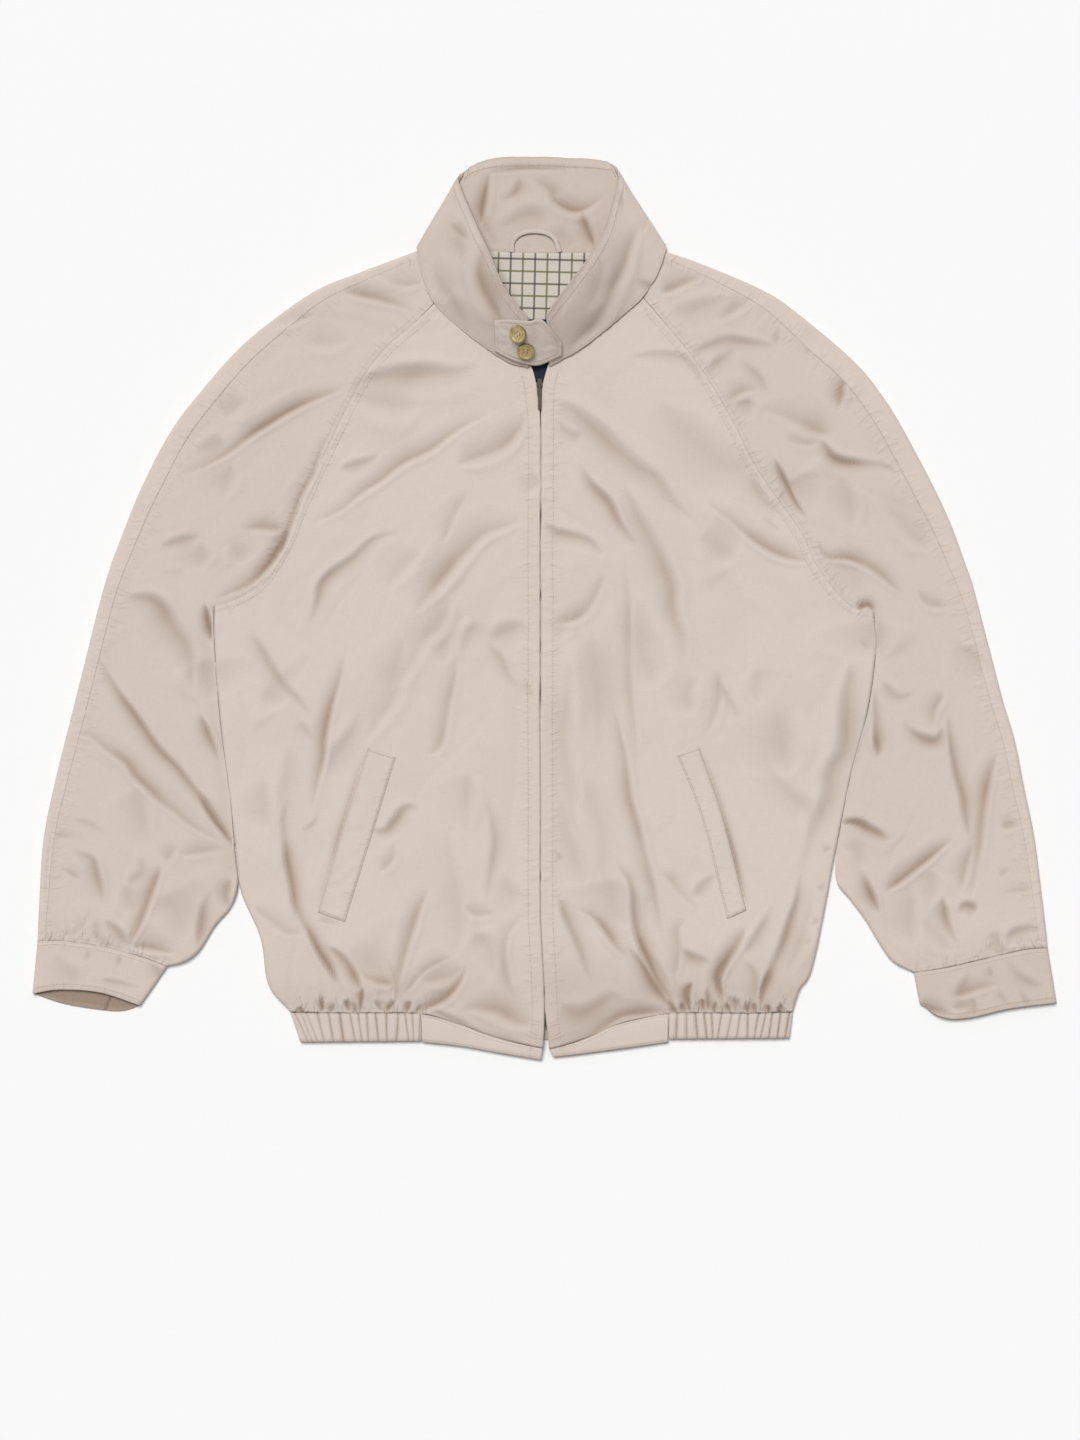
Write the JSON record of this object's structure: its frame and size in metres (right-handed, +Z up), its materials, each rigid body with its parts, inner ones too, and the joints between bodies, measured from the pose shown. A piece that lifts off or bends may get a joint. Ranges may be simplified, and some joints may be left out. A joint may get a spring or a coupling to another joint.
{
  "type": "bomber jacket",
  "caption": "Cotton bomber jacket laid flat, front up: raglan sleeves, tall stand collar with a buttoned throat tab, hidden zip, slanted welt pockets, cuffs and elasticated hem.",
  "frame": {"origin": "middle of the bounding box in plan, on the surface that the jacket lies on", "axes": "+X to the right of the picture (the wearer's left), +Y from the hem towards the collar, +Z up, out of the front"},
  "size_m": [0.9632, 0.8488, 0.047],
  "materials": {
    "shell": "matt stone-coloured cotton poplin",
    "buttons": "mottled tan horn look, soft gloss",
    "zip_tape": "woven tape with a moulded chain",
    "zip_metal": "dull plated metal",
    "lining": null,
    "label": "plain navy woven tape, no text"
  },
  "bodies": {
    "jacket": {"front_left": "shell", "front_right": "shell", "back": "shell", "sleeve_left_front": "shell", "sleeve_left_back": "shell", "sleeve_right_front": "shell", "sleeve_right_back": "shell", "cuff_left": "shell", "cuff_right": "shell", "hem_elastic": "shell", "hem_band_left": "shell", "hem_band_right": "shell", "collar": "shell", "throat_tab": "shell", "pocket_welt_left": "shell", "pocket_welt_right": "shell", "button_upper": "buttons", "button_lower": "buttons", "zip_chain": "zip_tape", "zip_tape_left": "zip_tape", "zip_tape_right": "zip_tape", "zip_slider": "zip_metal", "lining_neck": "lining", "hanging_loop": "lining", "label": "label"},
    "zip_pull": {"zip_pull": "zip_metal"}
  },
  "joints": [
    {"name": "zip_pull_hinge", "type": "hinge", "parent": "jacket", "child": "zip_pull", "pos_m": [-0.00451, 0.20925, 0.01034], "axis": [-1, 0, 0], "range_deg": [0, 100]}
  ]
}
